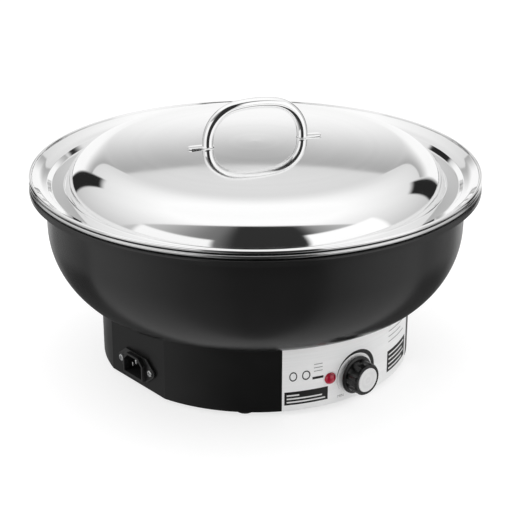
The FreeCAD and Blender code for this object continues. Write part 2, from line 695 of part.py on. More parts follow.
def terminal_block():
    """Three-way terminal block standing on the bottom plate."""
    body = block((-16, -9, 0), (16, 9, 15))
    body = body.makeFillet(1.2, [edge for edge in body.Edges if abs(edge.Length - 15) < 0.01])
    body.translate(BLOCK_AT)
    for x in BLOCK_POLES:
        body = body.cut(cylinder(2.1, BLOCK_AT + V(x, -12, 7), V(0, 1, 0), 24))
        body = body.cut(cylinder(2.0, BLOCK_AT + V(x, 0, 7), UP, 12))
    return body.cut(cylinder(1.5, BLOCK_AT + V(-5, 0, -1), UP, 7))


def terminal_screws():
    return [cylinder(1.9, BLOCK_AT + V(x, 0, 9.4), UP, 4.5) for x in BLOCK_POLES]


def block_screw():
    """Holds the terminal block down through the bottom plate."""
    return screw(1.5, 6.0, 2.8, 0.9, BLOCK_AT + V(-5, 0, -1.0), UP)


def earth_screw():
    return screw(2.0, 9.0, 3.4, 0.9, EARTH_AT + V(0, 0, COVER_Z), UP)


def earth_tag():
    """Ring tag and its nut on the earth screw."""
    tag = tube(4.4, 2.05, EARTH_AT + V(0, 0, COVER_TOP), UP, 0.8)
    stem = block((-12, -2.4, COVER_TOP), (-4.0, 2.4, COVER_TOP + 0.8))
    stem.translate(EARTH_AT)
    return [tag.fuse(stem).removeSplitter(), nut(7.0, 2.0, EARTH_AT + V(0, 0, COVER_TOP + 0.9), UP, 3.0)]


def live_wire():
    """Inlet to thermostat."""
    start = V(PIN_BACK, INLET_Y - 7, INLET_Z - 2.2)
    end = BLADE_ENDS[0] + V(0, 0.2, 0)
    points = [start, start + V(12, 0, 0), V(-74, -24, 17), V(-50, -48, 16), V(-28, -66, 16),
              end + V(0, 20, 0), end]
    return wire_run(points, 1.5)


def neutral_wire():
    """Inlet to terminal block."""
    start = V(PIN_BACK, INLET_Y + 7, INLET_Z - 2.2)
    end = BLOCK_AT + V(-10, -9.2, 7)
    return wire_run([start, start + V(12, 0, 0), end + V(-10, -18, 2), end + V(0, -8, 0), end], 1.5)


def earth_wire():
    """Inlet's earth pin to the earth tag."""
    start = V(PIN_BACK, INLET_Y, INLET_Z + 3.0)
    end = EARTH_AT + V(-10.0, 0, COVER_TOP + 2.4)
    return wire_run([start, start + V(8, 0, 0), V(-94, 14, 27), V(-99, 30, 22), end + V(0, -4, 6), end], 1.5)


def heater_wires():
    """Thermostat and terminal block to the two cold ends of the heater."""
    live_start = BLADE_ENDS[2] + V(0, 0.2, 0)
    live = [live_start, live_start + V(3, 22, 0), V(24, -40, 20), V(30, 0, 19), V(26, 44, 19),
            V(COLD_END_X, COLD_END_Y - 4, 20), V(COLD_END_X, COLD_END_Y, WIRE_UP_Z - 10),
            V(COLD_END_X, COLD_END_Y, WIRE_UP_Z)]
    neutral_start = BLOCK_AT + V(10, 9.2, 7)
    neutral = [neutral_start, neutral_start + V(0, 9, 0), V(-34, 78, 14), V(-20, COLD_END_Y, 18),
               V(-COLD_END_X, COLD_END_Y, WIRE_UP_Z - 10), V(-COLD_END_X, COLD_END_Y, WIRE_UP_Z)]
    return [wire_run(live, 1.5), wire_run(neutral, 1.5)]


def lamp_wires():
    """Two thin leads from the pilot lamp, to the thermostat and to the terminal block."""
    inward = outward(LAMP_AZ) * -1
    upper_start = at(PLATE_R - 28.2, LAMP_AZ, LAMP_Z + 2)
    upper_end = BLADE_ENDS[1] + V(0, 0.2, 0)
    upper = [upper_start, upper_start + inward * 12, V(-24, -80, 34), V(-16, -74, 33),
             upper_end + V(-1, 14, 0.5), upper_end]
    lower_start = at(PLATE_R - 28.2, LAMP_AZ, LAMP_Z - 2)
    lower_end = BLOCK_AT + V(0, -9.2, 7)
    lower = [lower_start, lower_start + inward * 14, V(-38, -60, 24), V(-48, -24, 23), V(-54, 10, 20),
             lower_end + V(0, -12, 1), lower_end]
    return [wire_run(upper, 0.8), wire_run(lower, 0.8)]


# ---------------------------------------------------------------- all nodes
NODES = [
    lid_shell, lid_handle, handle_tabs, food_pan, water_pan, outer_bowl, rim_seal, base_shell, base_cover,
    rubber_feet, foot_screws, bowl_screws, bowl_nuts, control_plate, thermostat_body, thermostat_nut,
    thermostat_shaft, knob, knob_cap, capillary_tube, sensing_bulb, bulb_clip, lamp_lens, lamp_housing,
    lamp_clip, inlet_housing, inlet_pins, inlet_screws, inlet_nuts, diffuser_plate, heating_element,
    element_terminals, clamp_bars, clamp_studs, clamp_nuts, heat_shield, shield_nuts, thermal_cutout,
    terminal_block, terminal_screws, block_screw, earth_screw, earth_tag, live_wire, neutral_wire,
    earth_wire, heater_wires, lamp_wires,
]

for make in NODES:
    save(make.__name__, make())
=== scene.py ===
# %% [markdown]
# # An electric buffet server, dressed in Blender on its CAD frame
# The engineering model comes in first and never moves. Everything after this line is looks: a studio to
# stand it in, finishes for every part, and finer models of the parts that the eye rests on.

# %% Load the frame
import json
import math

import bpy
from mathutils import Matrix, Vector


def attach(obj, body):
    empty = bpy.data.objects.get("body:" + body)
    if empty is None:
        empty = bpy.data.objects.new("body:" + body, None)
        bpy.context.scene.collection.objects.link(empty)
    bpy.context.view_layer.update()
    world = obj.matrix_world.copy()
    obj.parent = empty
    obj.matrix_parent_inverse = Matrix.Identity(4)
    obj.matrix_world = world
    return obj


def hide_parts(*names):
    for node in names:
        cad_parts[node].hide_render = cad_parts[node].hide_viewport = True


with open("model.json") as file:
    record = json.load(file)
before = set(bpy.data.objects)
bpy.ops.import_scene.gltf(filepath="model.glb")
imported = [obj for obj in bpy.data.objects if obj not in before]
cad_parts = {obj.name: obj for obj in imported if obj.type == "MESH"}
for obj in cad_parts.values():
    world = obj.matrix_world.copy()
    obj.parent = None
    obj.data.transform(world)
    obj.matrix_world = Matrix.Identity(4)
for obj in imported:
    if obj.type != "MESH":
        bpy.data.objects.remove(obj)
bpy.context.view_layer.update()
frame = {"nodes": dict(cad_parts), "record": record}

nodes = frame["nodes"]
MM = 0.001

# %% [markdown]
# ## Camera
# A wide, low dish is shot with a long lens from a little above its rim, so that the rings of the lid stay
# calm ellipses. The camera could be pointed by eye, but a product view is easier to repeat when it is set
# from a distance, a height, a bearing and a tilt. Depth of field stays off.

# %% Place the camera
CAMERA_BEARING = math.radians(-41.1)   # from the front, towards the inlet's side
CAMERA_DISTANCE = 1.1199
CAMERA_HEIGHT = 0.56185
CAMERA_TILT = 0.40223                  # downwards
CAMERA_LENS = 95.87
CAMERA_SHIFT = 0.0012

to_camera = Vector((math.sin(CAMERA_BEARING), -math.cos(CAMERA_BEARING), 0))
bpy.ops.object.camera_add(location=to_camera * CAMERA_DISTANCE + Vector((0, 0, CAMERA_HEIGHT)),
                          rotation=(math.pi / 2 - CAMERA_TILT, 0, CAMERA_BEARING))
camera = bpy.context.object
camera.name = "camera"
camera.data.lens = CAMERA_LENS
camera.data.sensor_width = 36
camera.data.shift_x = CAMERA_SHIFT
camera.data.clip_end = 60
bpy.context.scene.camera = camera
print("camera", [round(value, 3) for value in camera.location])

# %% [markdown]
# ## Studio
# Polished steel has hardly any colour of its own: it shows the room. This room is the one that a catalogue
# photographer builds round a shiny pot. There is a white panel overhead, a pale wall behind, a black flag
# at each side of that wall to draw dark edges, and the dark space where the camera stands, with a low
# bright panel on its left and on its right. Real cards would stand in the way of a camera on another side,
# so the room is painted on the world by direction.

# %% Small tools for painting by direction
bpy.context.scene.view_settings.view_transform = "Standard"
room = bpy.data.worlds.new("studio room")
bpy.context.scene.world = room
room.use_nodes = True
room_tree = room.node_tree
room_tree.nodes.clear()
room_ray = room_tree.nodes.new("ShaderNodeTexCoord").outputs["Generated"]


def add_node(tree, kind, *inputs, **settings):
    """Adds a node, sets it, and feeds its inputs in order with values or with other nodes' outputs."""
    node = tree.nodes.new(kind)
    for name, value in settings.items():
        setattr(node, name, value)
    for socket, value in zip(node.inputs, inputs):
        if isinstance(value, bpy.types.NodeSocket):
            tree.links.new(value, socket)
        elif value is not None:
            socket.default_value = value
    return node


def calculate(tree, operation, *values):
    return add_node(tree, "ShaderNodeMath", *values, operation=operation).outputs[0]


def slope(tree, value, start, end, low=0.0, high=1.0, kind="SMOOTHSTEP"):
    """Turns a value between start and end into one between low and high."""
    return add_node(tree, "ShaderNodeMapRange", value, start, end, low, high,
                    interpolation_type=kind).outputs[0]


def ray_along(direction):
    return add_node(room_tree, "ShaderNodeVectorMath", room_ray, tuple(direction),
                    operation="DOT_PRODUCT").outputs["Value"]


def band(value, start, end, soft):
    """1 between start and end and 0 outside, with soft edges."""
    rise = slope(room_tree, value, start - soft, start + soft)
    fall = slope(room_tree, value, end - soft, end + soft, 1.0, 0.0)
    return calculate(room_tree, "MULTIPLY", rise, fall)


def lay(under, over, mask):
    """Paints one brightness over another through a mask."""
    return calculate(room_tree, "MULTIPLY_ADD", calculate(room_tree, "SUBTRACT", over, under), mask, under)


print("painting tools ready")


# %% Measure each direction by its bearing and its height
UP = Vector((0, 0, 1))
away = -to_camera
degree = math.degrees(1)
bearing = calculate(room_tree, "ARCTAN2", ray_along(away.cross(UP)), ray_along(away))
bearing = calculate(room_tree, "MULTIPLY", bearing, degree)          # 0 behind the dish, 180 at the camera
round_turn = calculate(room_tree, "MODULO", calculate(room_tree, "ADD", bearing, 360.0), 360.0)
height = calculate(room_tree, "MULTIPLY", calculate(room_tree, "ARCSINE", ray_along(UP)), degree)
print("the room is measured in degrees")

# %% Paint the walls, the wall behind and the ground
walls = slope(room_tree, height, 5.0, 60.0, 0.58, 1.06, "LINEAR")
wall_glow = slope(room_tree, height, 12.0, 23.5, 1.0, 0.40)
wall_behind = calculate(room_tree, "MULTIPLY", band(bearing, -33.0, 38.0, 1.0),
                        slope(room_tree, height, 22.3, 22.9, 1.0, 0.0))
room_light = lay(walls, wall_glow, wall_behind)
room_light = lay(room_light, 0.08, slope(room_tree, height, -14.0, -34.0))
print("walls painted")

# %% Paint the dark side, where the camera stands
overhead_edge = (to_camera * 1.5 - UP * 0.68).normalized()   # the near edge of the panel overhead
near_side = slope(room_tree, ray_along(overhead_edge), -0.02, 0.05)
near_wall = slope(room_tree, calculate(room_tree, "ABSOLUTE", bearing), 156.0, 105.0, 0.17, 0.55)
near_wall = lay(near_wall, 0.03, band(round_turn, 143.0, 199.0, 8.0))
room_light = lay(room_light, near_wall, near_side)
print("camera side painted")

# %% Paint the low bright panels and the black flags
for first, last, top, glow in ((96.0, 148.0, 37.0, 1.08), (206.0, 255.0, 29.0, 1.0)):
    panel = calculate(room_tree, "MULTIPLY", band(round_turn, first, last, 2.5),
                      band(height, -12.0, top, 2.0))
    room_light = lay(room_light, glow, panel)
for first, last, top in ((-48.0, -33.0, 31.0), (40.0, 57.0, 29.0)):
    flag = calculate(room_tree, "MULTIPLY", band(bearing, first, last, 1.5), band(height, -20.0, top, 2.5))
    room_light = lay(room_light, 0.02, flag)
print("panels and flags painted")

# %% Light the world with the room, and show the camera plain white
room_shader = add_node(room_tree, "ShaderNodeBackground", (1, 1, 1, 1), room_light)
white_shader = add_node(room_tree, "ShaderNodeBackground", (1, 1, 1, 1), 1.0)
camera_ray = room_tree.nodes.new("ShaderNodeLightPath").outputs["Is Camera Ray"]
seen_room = add_node(room_tree, "ShaderNodeMixShader", camera_ray, room_shader.outputs[0],
                     white_shader.outputs[0])
add_node(room_tree, "ShaderNodeOutputWorld", seen_room.outputs[0])
print("world ready with", len(room_tree.nodes), "nodes")

# %% [markdown]
# ### Lamps and floor
# The world fills the shadows. Soft boxes then give the light a direction, so that the dish has a light side
# and a shadow under it. The floor is white paper. It catches the shadow, but it stays out of the
# reflections, as the edge of a small shooting table does.

# %% Hang the soft boxes
SOFT_BOXES = (
    ("overhead box", (0.10, 0.25, 1.55), (1.6, 1.2), 9.0),
    ("left box", (-1.30, 0.10, 0.75), (0.9, 0.7), 5.0),
    ("right box", (1.20, -0.55, 0.70), (0.9, 0.7), 5.0),
)
for name, place, size, power in SOFT_BOXES:
    aim = Vector((0, 0, 0.10)) - Vector(place)
    bpy.ops.object.light_add(type="AREA", location=place, rotation=aim.to_track_quat("-Z", "Y").to_euler())
    box = bpy.context.object
    box.name = name
    box.data.shape = "RECTANGLE"
    box.data.size, box.data.size_y = size
    box.data.energy = power
    box.visible_glossy = False
print(len(SOFT_BOXES), "soft boxes")

# %% Lay the floor
bpy.ops.mesh.primitive_circle_add(vertices=96, radius=7.0, fill_type="NGON")
floor = bpy.context.object
floor.name = "floor"
paper = bpy.data.materials.new("white paper")
paper.use_nodes = True
paper_tree = paper.node_tree
paper_shader = paper_tree.nodes["Principled BSDF"]
paper_shader.inputs["Base Color"].default_value = (0.38, 0.38, 0.38, 1)
paper_shader.inputs["Roughness"].default_value = 0.95
paper_shader.inputs["Emission Color"].default_value = (1, 1, 1, 1)
paper_shader.inputs["Emission Strength"].default_value = 0.72
glossy_ray = paper_tree.nodes.new("ShaderNodeLightPath").outputs["Is Glossy Ray"]
see_through = paper_tree.nodes.new("ShaderNodeBsdfTransparent")
paper_mix = add_node(paper_tree, "ShaderNodeMixShader", glossy_ray, paper_shader.outputs[0],
                     see_through.outputs[0])
paper_tree.links.new(paper_mix.outputs[0], paper_tree.nodes["Material Output"].inputs["Surface"])
floor.data.materials.append(paper)
print("floor laid")

# %% [markdown]
# ## Patterns that the finishes share
# Close up, no finish is even. Polished steel has fine rings left by the wheel, paint has a faint orange
# peel, moulded plastic has a grain, and anything handled has smudges. Each pattern is made once, as a node
# group, and every material that needs it takes it with its own size. A group gives back a mask, or a
# height for a bump.

# %% Start a pattern group
def start_pattern(name, inputs, outputs):
    """An empty node group with number inputs, plus the piece's own coordinates as a vector."""
    group = bpy.data.node_groups.new(name, "ShaderNodeTree")
    group.interface.new_socket("Vector", in_out="INPUT", socket_type="NodeSocketVector")
    for label, value in inputs.items():
        group.interface.new_socket(label, in_out="INPUT", socket_type="NodeSocketFloat").default_value = value
    for label in outputs:
        group.interface.new_socket(label, in_out="OUTPUT", socket_type="NodeSocketFloat")
    source = group.nodes.new("NodeGroupInput").outputs
    result = group.nodes.new("NodeGroupOutput").inputs
    return group, source, result


def noise(tree, vector, scale, detail=3.0, rough=0.55):
    return add_node(tree, "ShaderNodeTexNoise", vector, None, scale, detail, rough).outputs["Fac"]


print("pattern tools ready")


# %% Rings: what a polishing wheel leaves on a part that spins under it
rings, source, result = start_pattern("wheel rings", {"Fineness": 900.0}, ("Mask", "Height"))
place = add_node(rings, "ShaderNodeSeparateXYZ", source["Vector"]).outputs
squares = [calculate(rings, "MULTIPLY", place[axis], place[axis]) for axis in "XY"]
radius = calculate(rings, "SQRT", calculate(rings, "ADD", *squares))
across = add_node(rings, "ShaderNodeCombineXYZ", radius, place["Z"], 0.0).outputs[0]
fine_rings = noise(rings, across, source["Fineness"], 4.0, 0.65)
broad_rings = noise(rings, across, calculate(rings, "MULTIPLY", source["Fineness"], 0.08), 2.0)
rings.links.new(slope(rings, broad_rings, 0.3, 0.7, 0.0, 1.0, "LINEAR"), result["Mask"])
rings.links.new(fine_rings, result["Height"])
print("wheel rings:", len(rings.nodes), "nodes")

# %% Brushing: long fine lines that run round the upright axis
brushing, source, result = start_pattern("brushing", {"Fineness": 2600.0}, ("Mask", "Height"))
place = add_node(brushing, "ShaderNodeSeparateXYZ", source["Vector"]).outputs
turn = calculate(brushing, "ARCTAN2", place["X"], calculate(brushing, "MULTIPLY", place["Y"], -1.0))
along_lines = calculate(brushing, "MULTIPLY", turn, 0.004)
across = add_node(brushing, "ShaderNodeCombineXYZ", along_lines, 0.0, place["Z"]).outputs[0]
fine_lines = noise(brushing, across, source["Fineness"], 5.0, 0.7)
broad_lines = noise(brushing, across, calculate(brushing, "MULTIPLY", source["Fineness"], 0.2), 2.0)
brushing.links.new(slope(brushing, calculate(brushing, "ADD", fine_lines, broad_lines), 0.7, 1.3, 0.0, 1.0,
                         "LINEAR"), result["Mask"])
brushing.links.new(fine_lines, result["Height"])
print("brushing:", len(brushing.nodes), "nodes")

# %% Grain: the even texture of a mould, a paint coat or a casting
grain, source, result = start_pattern("grain", {"Fineness": 1800.0, "Cloudiness": 25.0}, ("Mask", "Height"))
fine_grain = noise(grain, source["Vector"], source["Fineness"], 2.0)
clouds = noise(grain, source["Vector"], source["Cloudiness"], 3.0)
grain.links.new(slope(grain, clouds, 0.3, 0.7, 0.0, 1.0, "LINEAR"), result["Mask"])
grain.links.new(fine_grain, result["Height"])
print("grain:", len(grain.nodes), "nodes")

# %% Sheet lines: straight rolling marks on plain sheet, wire and plated parts
rolling, source, result = start_pattern("rolling marks", {"Fineness": 1500.0}, ("Mask", "Height"))
stretched = add_node(rolling, "ShaderNodeVectorMath", source["Vector"], (1.0, 0.06, 1.0),
                     operation="MULTIPLY").outputs[0]
marks = noise(rolling, stretched, source["Fineness"], 4.0, 0.6)
blotches = noise(rolling, source["Vector"], 90.0, 3.0)
rolling.links.new(slope(rolling, blotches, 0.3, 0.7, 0.0, 1.0, "LINEAR"), result["Mask"])
rolling.links.new(marks, result["Height"])
print("rolling marks:", len(rolling.nodes), "nodes")

# %% Smudges: large faint patches, where hands and cloths have been
smudges, source, result = start_pattern("smudges", {"Size": 14.0}, ("Mask",))
patches = noise(smudges, source["Vector"], source["Size"], 5.0, 0.6)
smudges.links.new(slope(smudges, patches, 0.42, 0.72), result["Mask"])
print("smudges:", len(smudges.nodes), "nodes")

# %% [markdown]
# ## Finishes
# Every part here is a Principled surface: what differs is how dark it is, how metallic, how smooth, and
# which pattern disturbs it. One recipe mixes two shades and two roughnesses through the pattern's mask,
# adds the smudges, and lays the pattern's height on as a slight bump. A value that is the same all over
# goes straight on the shader.

# %% The recipe
finishes = {}


def make_finish(slot, pattern, shades, roughness, bump, metallic=0.0, centre=(0, 0, 0), turned=(0, 0, 0),
                sizes=None, smudge=0.06, **fixed):
    """One material: shades and roughness are (low, high) pairs, bump is the height of the relief in mm."""
    material = bpy.data.materials.new(slot)
    material.use_nodes = True
    tree = material.node_tree
    shader = tree.nodes["Principled BSDF"]
    shader.inputs["Metallic"].default_value = metallic
    for socket, value in fixed.items():
        shader.inputs[socket.replace("_", " ")].default_value = value
    spot = tree.nodes.new("ShaderNodeTexCoord").outputs["Object"]
    mapping = add_node(tree, "ShaderNodeMapping", spot, centre, turned, vector_type="TEXTURE").outputs[0]
    texture = add_node(tree, "ShaderNodeGroup", node_tree=pattern)
    tree.links.new(mapping, texture.inputs["Vector"])
    for label, value in (sizes or {}).items():
        texture.inputs[label].default_value = value
    touched = add_node(tree, "ShaderNodeGroup", node_tree=smudges)
    tree.links.new(spot, touched.inputs["Vector"])
    shade = add_node(tree, "ShaderNodeMix", data_type="RGBA")
    tree.links.new(texture.outputs["Mask"], shade.inputs["Factor"])
    for socket, color in zip((shade.inputs[6], shade.inputs[7]), shades):
        socket.default_value = (*color, 1)
    tree.links.new(shade.outputs[2], shader.inputs["Base Color"])
    polish = slope(tree, texture.outputs["Mask"], 0.0, 1.0, *roughness, "LINEAR")
    wiped = calculate(tree, "MULTIPLY_ADD", touched.outputs["Mask"], smudge, polish)
    tree.links.new(wiped, shader.inputs["Roughness"])
    relief = tree.nodes.new("ShaderNodeBump")
    relief.inputs["Strength"].default_value = 1.0
    relief.inputs["Distance"].default_value = bump * MM
    tree.links.new(texture.outputs["Height"], relief.inputs["Height"])
    tree.links.new(relief.outputs["Normal"], shader.inputs["Normal"])
    finishes[slot] = material


def grey(low, high):
    return (low, low, low), (high, high, high)


print("recipe ready")


# %% Steels and other bright metals
KNOB_X = -9.8
KNOB_Z = 25.5
KNOB_AXIS = (KNOB_X * MM, 0, KNOB_Z * MM)
make_finish("mirror_steel", rings, grey(0.91, 0.96), (0.035, 0.06), 0.0006, 1.0, sizes={"Fineness": 700.0},
            smudge=0.03)
make_finish("pan_steel", rings, grey(0.70, 0.80), (0.14, 0.24), 0.0025, 1.0, sizes={"Fineness": 1100.0})
make_finish("plate_metal", brushing, grey(0.93, 1.0), (0.34, 0.44), 0.002, 0.15, smudge=0.03)
make_finish("cap_metal", rings, grey(0.84, 1.0), (0.30, 0.42), 0.002, 0.45, centre=KNOB_AXIS,
            turned=(math.pi / 2, 0, 0), sizes={"Fineness": 2600.0})
make_finish("zinc_steel", rolling, ((0.62, 0.63, 0.64), (0.74, 0.74, 0.72)), (0.22, 0.36), 0.002, 1.0)
make_finish("pin_metal", rolling, grey(0.72, 0.84), (0.16, 0.28), 0.002, 1.0)
make_finish("copper", rolling, ((0.60, 0.27, 0.15), (0.78, 0.40, 0.25)), (0.24, 0.38), 0.002, 1.0)
make_finish("plate_aluminium", rolling, grey(0.66, 0.78), (0.32, 0.46), 0.003, 1.0)
make_finish("heater_steel", rolling, ((0.16, 0.15, 0.14), (0.34, 0.30, 0.25)), (0.38, 0.55), 0.004, 1.0)
print(len(finishes), "metals")

# %% Black finishes and plastics
make_finish("black_paint", grain, grey(0.0090, 0.0130), (0.17, 0.22), 0.002,
            sizes={"Fineness": 900.0, "Cloudiness": 12.0}, smudge=0.05)
make_finish("base_plastic", grain, grey(0.0055, 0.0080), (0.30, 0.38), 0.004,
            sizes={"Fineness": 1600.0, "Cloudiness": 18.0}, smudge=0.05, Specular_IOR_Level=0.28)
make_finish("cover_steel", grain, grey(0.010, 0.016), (0.40, 0.52), 0.006, sizes={"Fineness": 1200.0})
make_finish("black_rubber", grain, grey(0.012, 0.020), (0.62, 0.78), 0.010, sizes={"Fineness": 1500.0})
make_finish("seal_silicone", grain, grey(0.38, 0.46), (0.45, 0.60), 0.004)
make_finish("knob_plastic", grain, grey(0.0065, 0.0100), (0.17, 0.26), 0.003,
            sizes={"Fineness": 2400.0, "Cloudiness": 60.0})
make_finish("inlet_plastic", grain, grey(0.0070, 0.0105), (0.30, 0.40), 0.005,
            sizes={"Fineness": 2600.0, "Cloudiness": 60.0})
make_finish("case_plastic", grain, ((0.52, 0.50, 0.44), (0.62, 0.60, 0.54)), (0.36, 0.48), 0.005,
            sizes={"Fineness": 2200.0})
make_finish("lens_red", grain, ((0.30, 0.004, 0.022), (0.46, 0.010, 0.040)), (0.06, 0.12), 0.003,
            sizes={"Fineness": 1500.0, "Cloudiness": 300.0}, Coat_Weight=0.6)
for slot, dark, light in (("brown_lead", (0.10, 0.035, 0.015), (0.15, 0.055, 0.025)),
                          ("blue_lead", (0.015, 0.06, 0.26), (0.03, 0.10, 0.36)),
                          ("green_lead", (0.03, 0.20, 0.03), (0.42, 0.40, 0.02)),
                          ("sleeved_lead", (0.55, 0.53, 0.48), (0.70, 0.68, 0.62))):
    make_finish(slot, grain, (dark, light), (0.34, 0.50), 0.006, sizes={"Cloudiness": 120.0})
print(len(finishes), "finishes in all")

# %% [markdown]
# ### Dress the CAD parts
# The record says which finish each node takes. Each node keeps its mesh, and its slots get the material.

# %% Give each node its finish
slot_of = {part["node"]: part["material_slot"] for part in frame["record"]["subparts"]}
for name, node in nodes.items():
    for material_slot in node.material_slots:
        material_slot.material = finishes[slot_of[name]]
print(len(slot_of), "nodes dressed")

# %% [markdown]
# ## Tools for turned and pressed parts
# The lid, the pans and the bowl are spun from flat discs over a form, so each is one outline turned about
# an axis. In Blender that is an outline drawn point by point with extrude, then Spin, then a modifier that
# gives the sheet its thickness. A lathe-like Screw modifier would do too, but Spin keeps each step in edit
# mode, where it can be seen.

# %% Selecting and finishing
def only(piece):
    """Leaves one piece selected and active."""
    bpy.ops.object.select_all(action="DESELECT")
    piece.select_set(True)
    bpy.context.view_layer.objects.active = piece


def edit(piece):
    only(piece)
    bpy.ops.object.mode_set(mode="EDIT")
    bpy.context.tool_settings.mesh_select_mode = (True, False, False)


def leave_edit():
    bpy.ops.object.mode_set(mode="OBJECT")


def apply_place(piece):
    only(piece)
    bpy.ops.object.transform_apply(location=True, rotation=True, scale=True)


def join(pieces, into):
    """Joins pieces into one of them, and gives that one back."""
    bpy.ops.object.select_all(action="DESELECT")
    for piece in pieces:
        piece.select_set(True)
    bpy.context.view_layer.objects.active = into
    bpy.ops.object.join()
    return into


def turn_over(piece):
    """Makes every face of an open sheet point the other way."""
    edit(piece)
    bpy.ops.mesh.select_all(action="SELECT")
    bpy.ops.mesh.flip_normals()
    leave_edit()


def pick(piece, wanted):
    """Opens a piece for editing with only the wanted corners selected."""
    edit(piece)
    bpy.ops.mesh.select_all(action="DESELECT")
    leave_edit()
    for vertex in piece.data.vertices:
        vertex.select = wanted(vertex.co)
    edit(piece)


def with_modifier(piece, kind, **settings):
    """Adds a modifier, sets it and applies it."""
    only(piece)
    modifier = piece.modifiers.new(kind.lower(), kind)
    for name, value in settings.items():
        setattr(modifier, name, value)
    bpy.ops.object.modifier_apply(modifier=modifier.name)


def hand_over(piece, name, body, slot, *stands_for, sharp=30):
    """Names a finished piece, smooths it, dresses it and tells the frame where it belongs."""
    apply_place(piece)
    bpy.ops.object.shade_smooth_by_angle(angle=math.radians(sharp))
    piece.name = name
    piece.data.name = name
    piece.data.materials.clear()
    piece.data.materials.append(finishes[slot])
    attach(piece, body)
    if stands_for:
        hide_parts(*stands_for)
    points = [vertex.co / MM for vertex in piece.data.vertices]
    low = [round(min(point[axis] for point in points), 1) for axis in range(3)]
    high = [round(max(point[axis] for point in points), 1) for axis in range(3)]
    print(name, len(piece.data.polygons), "faces from", low, "to", high)


print("piece tools ready")


# %% Outline with rounded corners
def rounded(corners, radii, step=math.radians(4)):
    """The (r, z) corners of an outline in mm, with an arc of the given radius at each inner corner."""
    points = [Vector(corners[0])]
    for before, corner, after, radius in zip(corners, corners[1:], corners[2:], radii):
        corner = Vector(corner)
        back = (Vector(before) - corner).normalized()
        on = (Vector(after) - corner).normalized()
        half = back.angle(on) / 2
        centre = corner + (back + on).normalized() * (radius / math.sin(half))
        first = corner + back * (radius / math.tan(half)) - centre
        sweep = (math.pi - 2 * half) * (1 if back.x * on.y - back.y * on.x < 0 else -1)
        pieces = max(3, round(abs(sweep) / step))
        for i in range(pieces + 1):
            angle = sweep * i / pieces
            turned = Vector((first.x * math.cos(angle) - first.y * math.sin(angle),
                             first.x * math.sin(angle) + first.y * math.cos(angle)))
            points.append(centre + turned)
    points.append(Vector(corners[-1]))
    return [point for i, point in enumerate(points) if i == 0 or (point - points[i - 1]).length > 1e-3]


print("outline tool ready")


# %% Draw an outline by extrusion, and spin it
def spin_outline(outline, turns=192):
    """Starts from one point, extrudes it along the outline, and spins the line about the upright axis."""
    bpy.ops.object.select_all(action="DESELECT")
    bpy.ops.mesh.primitive_plane_add(size=MM)
    piece = bpy.context.object
    edit(piece)
    bpy.ops.mesh.select_all(action="SELECT")
    bpy.ops.mesh.merge(type="CENTER")
    bpy.ops.transform.translate(value=(outline[0].x * MM, 0, outline[0].y * MM))
    for here, there in zip(outline, outline[1:]):
        step = ((there.x - here.x) * MM, 0, (there.y - here.y) * MM)
        bpy.ops.mesh.extrude_vertices_move(TRANSFORM_OT_translate={"value": step})
    bpy.ops.mesh.select_all(action="SELECT")
    bpy.ops.mesh.spin(steps=turns, angle=math.tau, center=(0, 0, 0), axis=(0, 0, 1))
    bpy.ops.mesh.select_all(action="SELECT")
    bpy.ops.mesh.remove_doubles(threshold=0.01 * MM)
    bpy.ops.mesh.normals_make_consistent(inside=False)
    leave_edit()
    return piece


def face_up(piece):
    """Turns an open sheet over if the face nearest the axis points down."""
    inner = min(piece.data.polygons, key=lambda face: face.center.xy.length)
    if inner.normal.z < 0:
        turn_over(piece)


print("spinning tools ready")


# %% [markdown]
# ## Lid
# The lid is one thin polished sheet. Its edge is curled under for strength, the flange inside the curl
# dips towards a groove that locates the lid on the pan, and the dome rises from the groove in a wall, a
# tight shoulder and an almost flat crown. The crown is not quite flat, and that slight curve is what bends
# the wall behind into one long line of shade.

# %% Lid outline
RIM_R = 195.0
RIM_TOP = 172.25
CROWN_TOP = 193.05
SHEET = 0.8
LID_CURL = 1.5
curl = Vector((RIM_R - LID_CURL, RIM_TOP - LID_CURL))
lid_line = [curl + Vector((math.cos(angle), math.sin(angle))) * LID_CURL
            for angle in (math.radians(-150 + 15 * i) for i in range(21))]
flange_start = (RIM_R - 3.0, RIM_TOP - 1.79)
lid_corners = [tuple(lid_line[-1]), flange_start, (RIM_R - 9.5, RIM_TOP - 6.4), (RIM_R - 15.5, RIM_TOP - 8.0),
               (RIM_R - 19.2, RIM_TOP - 11.95), (RIM_R - 30.0, RIM_TOP - 11.95),
               (RIM_R - 40.6, CROWN_TOP - 5.7), (64.0, CROWN_TOP), (0, CROWN_TOP)]
lid_line += rounded(lid_corners, (0.9, 14.0, 1.5, 1.5, 1.6, 41.0, 2010.0), math.radians(3))
print("lid outline:", len(lid_line), "points")

# %% Spin the lid and give the sheet its thickness
lid = spin_outline(lid_line, 224)
face_up(lid)
with_modifier(lid, "SOLIDIFY", thickness=SHEET * MM, offset=-1, use_even_offset=False)
hand_over(lid, "lid_sheet", "lid", "mirror_steel", "lid_shell", sharp=40)

# %% [markdown]
# ## Handle
# The handle is a round bar bent over a former: two short legs, two wide bends and a slightly arched top.
# Spin can bend as well as turn: the end face of a short leg is spun about each bend's centre in order, as
# the bender does it. A curve with a bevel would be quicker, but this keeps the section round at each bend.

# %% Bend the handle
BAR_R = 4.8
HALF_SPAN = 43.0
BEND_R = 30.0
HANDLE_TURN = math.radians(-22)
LEAN = math.radians(10)
bend_x = HALF_SPAN - BEND_R
arch_r = (bend_x + BEND_R * math.sin(LEAN)) / math.sin(LEAN)
HANDLE_TOP = 232.0
bar_top = HANDLE_TOP - BAR_R
bend_z = bar_top - arch_r * (1 - math.cos(LEAN)) - BEND_R * math.cos(LEAN)
FOOT_Z = CROWN_TOP - 0.1

